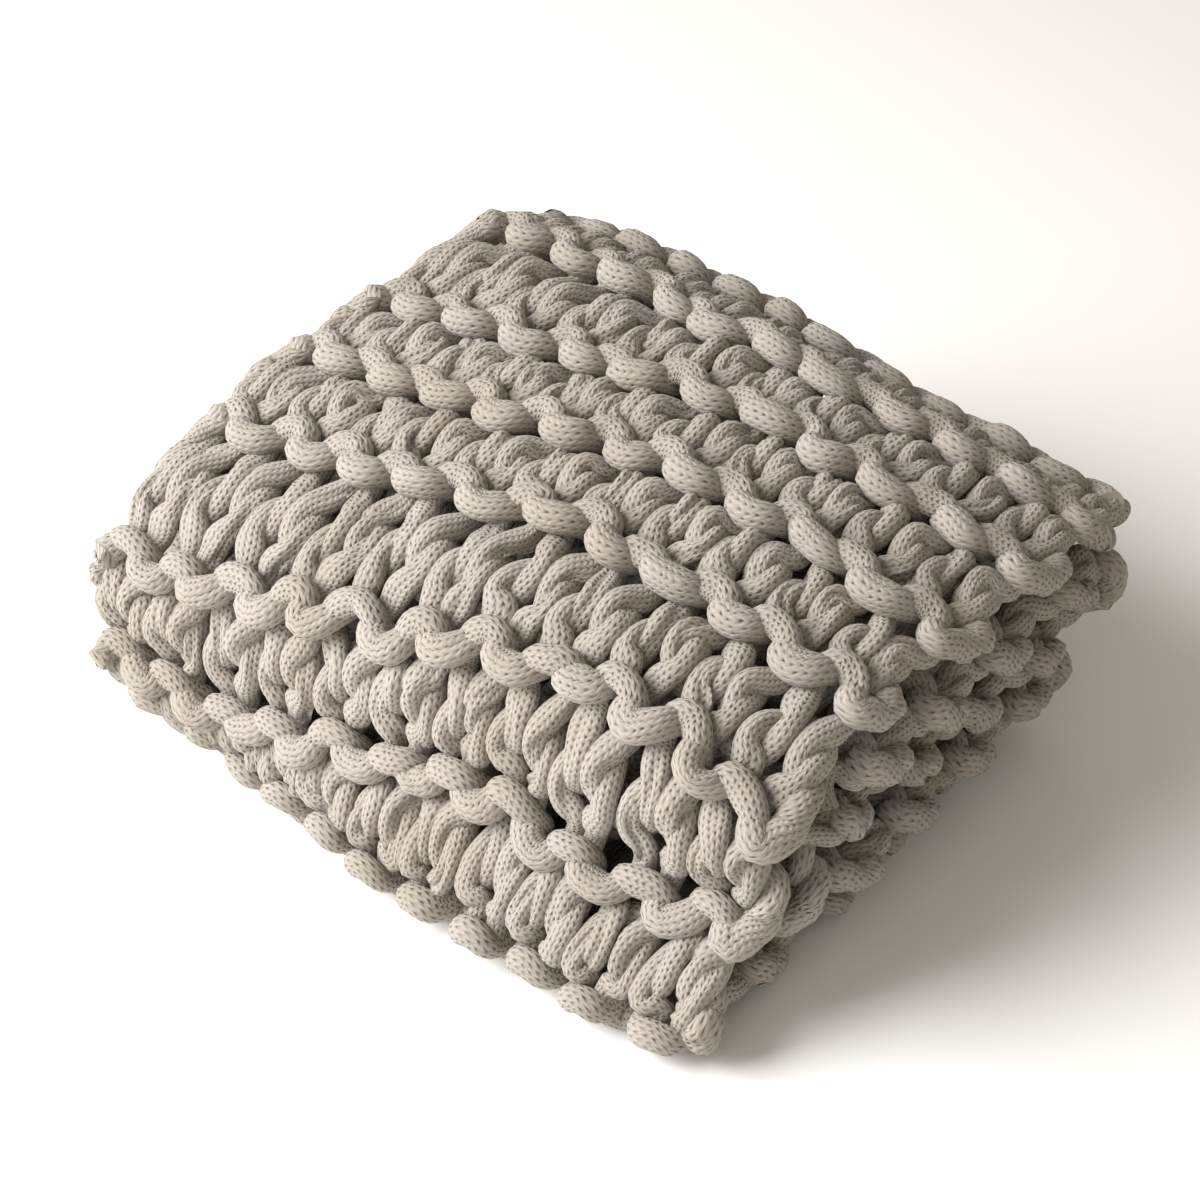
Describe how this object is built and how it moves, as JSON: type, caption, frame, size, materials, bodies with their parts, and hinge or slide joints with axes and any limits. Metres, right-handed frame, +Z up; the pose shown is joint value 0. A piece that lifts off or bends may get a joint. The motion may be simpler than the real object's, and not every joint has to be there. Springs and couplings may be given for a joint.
{
  "type": "folded knitted blanket",
  "caption": "Chunky garter-stitch blanket of thick stone-coloured yarn, folded into a soft pile that rests flat.",
  "frame": {"origin": "Centre of the box round the folded pile, on the surface that it rests on.", "axes": "+Z up; X along the ridges of the knitting, which is the pile's width; -Y is the folded front that the picture shows."},
  "size_m": [0.5372, 0.4894, 0.2611],
  "materials": {
    "stone_wool": "matt knitted tube yarn with a soft fuzz"
  },
  "bodies": {
    "root": {"blanket": "stone_wool"}
  },
  "joints": []
}
